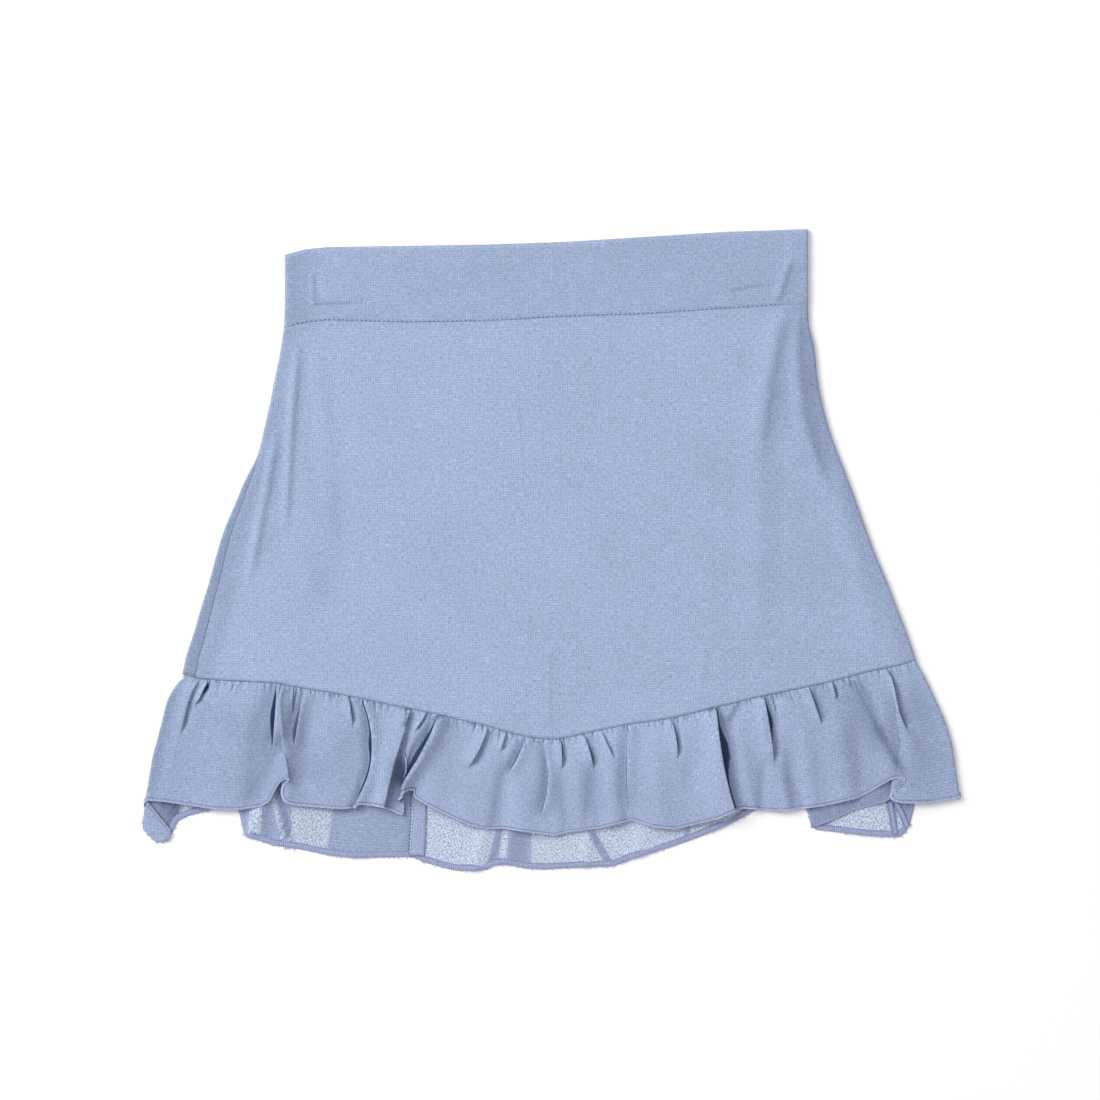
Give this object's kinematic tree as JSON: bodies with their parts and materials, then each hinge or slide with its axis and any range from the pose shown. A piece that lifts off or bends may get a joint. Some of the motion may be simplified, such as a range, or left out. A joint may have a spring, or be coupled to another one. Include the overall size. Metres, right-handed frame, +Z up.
{
  "type": "mini skirt",
  "caption": "Pull-on A-line linen mini skirt laid flat, with a plain waistband and a gathered ruffle round a hem that dips in the middle.",
  "frame": {"origin": "centre of the object's box in plan, on the surface it lies on", "axes": "+X across the skirt towards the wearer's left (right in the view from above), +Y from hem to waist, +Z up from the surface towards the front of the skirt"},
  "size_m": [0.5404, 0.4223, 0.0137],
  "materials": {
    "linen_front": "matte light blue plain-weave linen",
    "linen_back": "matte light blue plain-weave linen",
    "linen_ruffle": "matte light blue plain-weave linen, gathered"
  },
  "bodies": {
    "root": {"waistband_front": "linen_front", "waistband_back": "linen_back", "front_panel": "linen_front", "back_panel": "linen_back", "ruffle": "linen_ruffle"}
  },
  "joints": []
}
